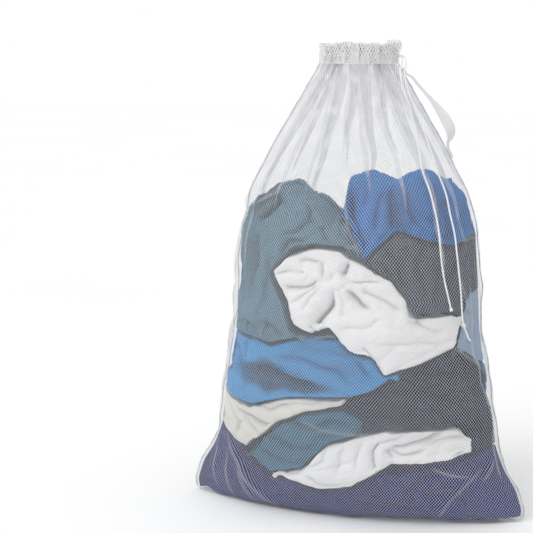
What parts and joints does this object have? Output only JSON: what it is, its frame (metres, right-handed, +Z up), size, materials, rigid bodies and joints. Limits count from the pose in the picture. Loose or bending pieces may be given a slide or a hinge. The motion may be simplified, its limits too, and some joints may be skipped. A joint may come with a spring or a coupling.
{
  "type": "mesh laundry bag",
  "caption": "Cinched mesh laundry bag standing full of washing, with a drawstring casing, hanging cord tails and a webbing carry strap on one side seam.",
  "frame": {"origin": "on the floor, under the middle of the bag", "axes": "+Z up; -Y is the front panel; +X is the side seam with the carry strap and the cord tails"},
  "size_m": [0.613, 0.284, 0.815],
  "materials": {
    "net": "white polyester mesh with small staggered holes, soft sheen",
    "seam": "dense white overlocked mesh, several layers",
    "cord": "white braided cord, matt",
    "webbing": "white woven ribbon webbing, slight sheen",
    "stitch": "white polyester thread",
    "white_cotton": "white terry and cotton cloth, matt",
    "cream_cotton": "off-white soft cotton, matt",
    "teal_cotton": "grey-teal jersey, matt",
    "blue_cotton": "bright mid-blue jersey, matt",
    "pale_blue_cotton": "pale blue cotton, matt",
    "charcoal_cotton": "charcoal jersey, matt",
    "navy_denim": "navy twill, matt",
    "grey_fleece": "mid-grey fleece, matt"
  },
  "bodies": {
    "sack": {"front_net_panel": "net", "back_net_panel": "net", "left_side_seam": "seam", "right_side_seam": "seam", "bottom_seam": "seam", "front_drawstring_casing": "seam", "back_drawstring_casing": "seam", "drawstring_in_casing": "cord", "drawstring_short_tail": "cord", "drawstring_long_tail": "cord", "drawstring_tag_end": "cord", "short_tail_knot": "cord", "long_tail_knot": "cord", "strap_upper_tab": "webbing", "strap_lower_tab": "webbing", "upper_bartack": "stitch", "lower_bartack": "stitch", "white_knotted_towel": "white_cotton", "white_twisted_cloth": "white_cotton", "cream_bundle": "cream_cotton", "teal_rolled_shirt": "teal_cotton", "blue_folded_shirt": "blue_cotton", "pale_blue_shirt": "pale_blue_cotton", "blue_bunched_shirt": "blue_cotton", "teal_shirt": "teal_cotton", "charcoal_trousers": "charcoal_cotton", "charcoal_sweater": "charcoal_cotton", "navy_jeans": "navy_denim", "back_grey_fleece": "grey_fleece", "back_blue_towel": "blue_cotton", "back_white_sheet": "white_cotton", "back_teal_shirt": "teal_cotton"},
    "strap": {"strap_loop": "webbing"}
  },
  "joints": [
    {"name": "strap_swing", "type": "hinge", "parent": "sack", "child": "strap", "pos_m": [0.0855, 0, 0.768], "axis": [0.5102, 0, -0.8601], "range_deg": [-50, 50]}
  ]
}
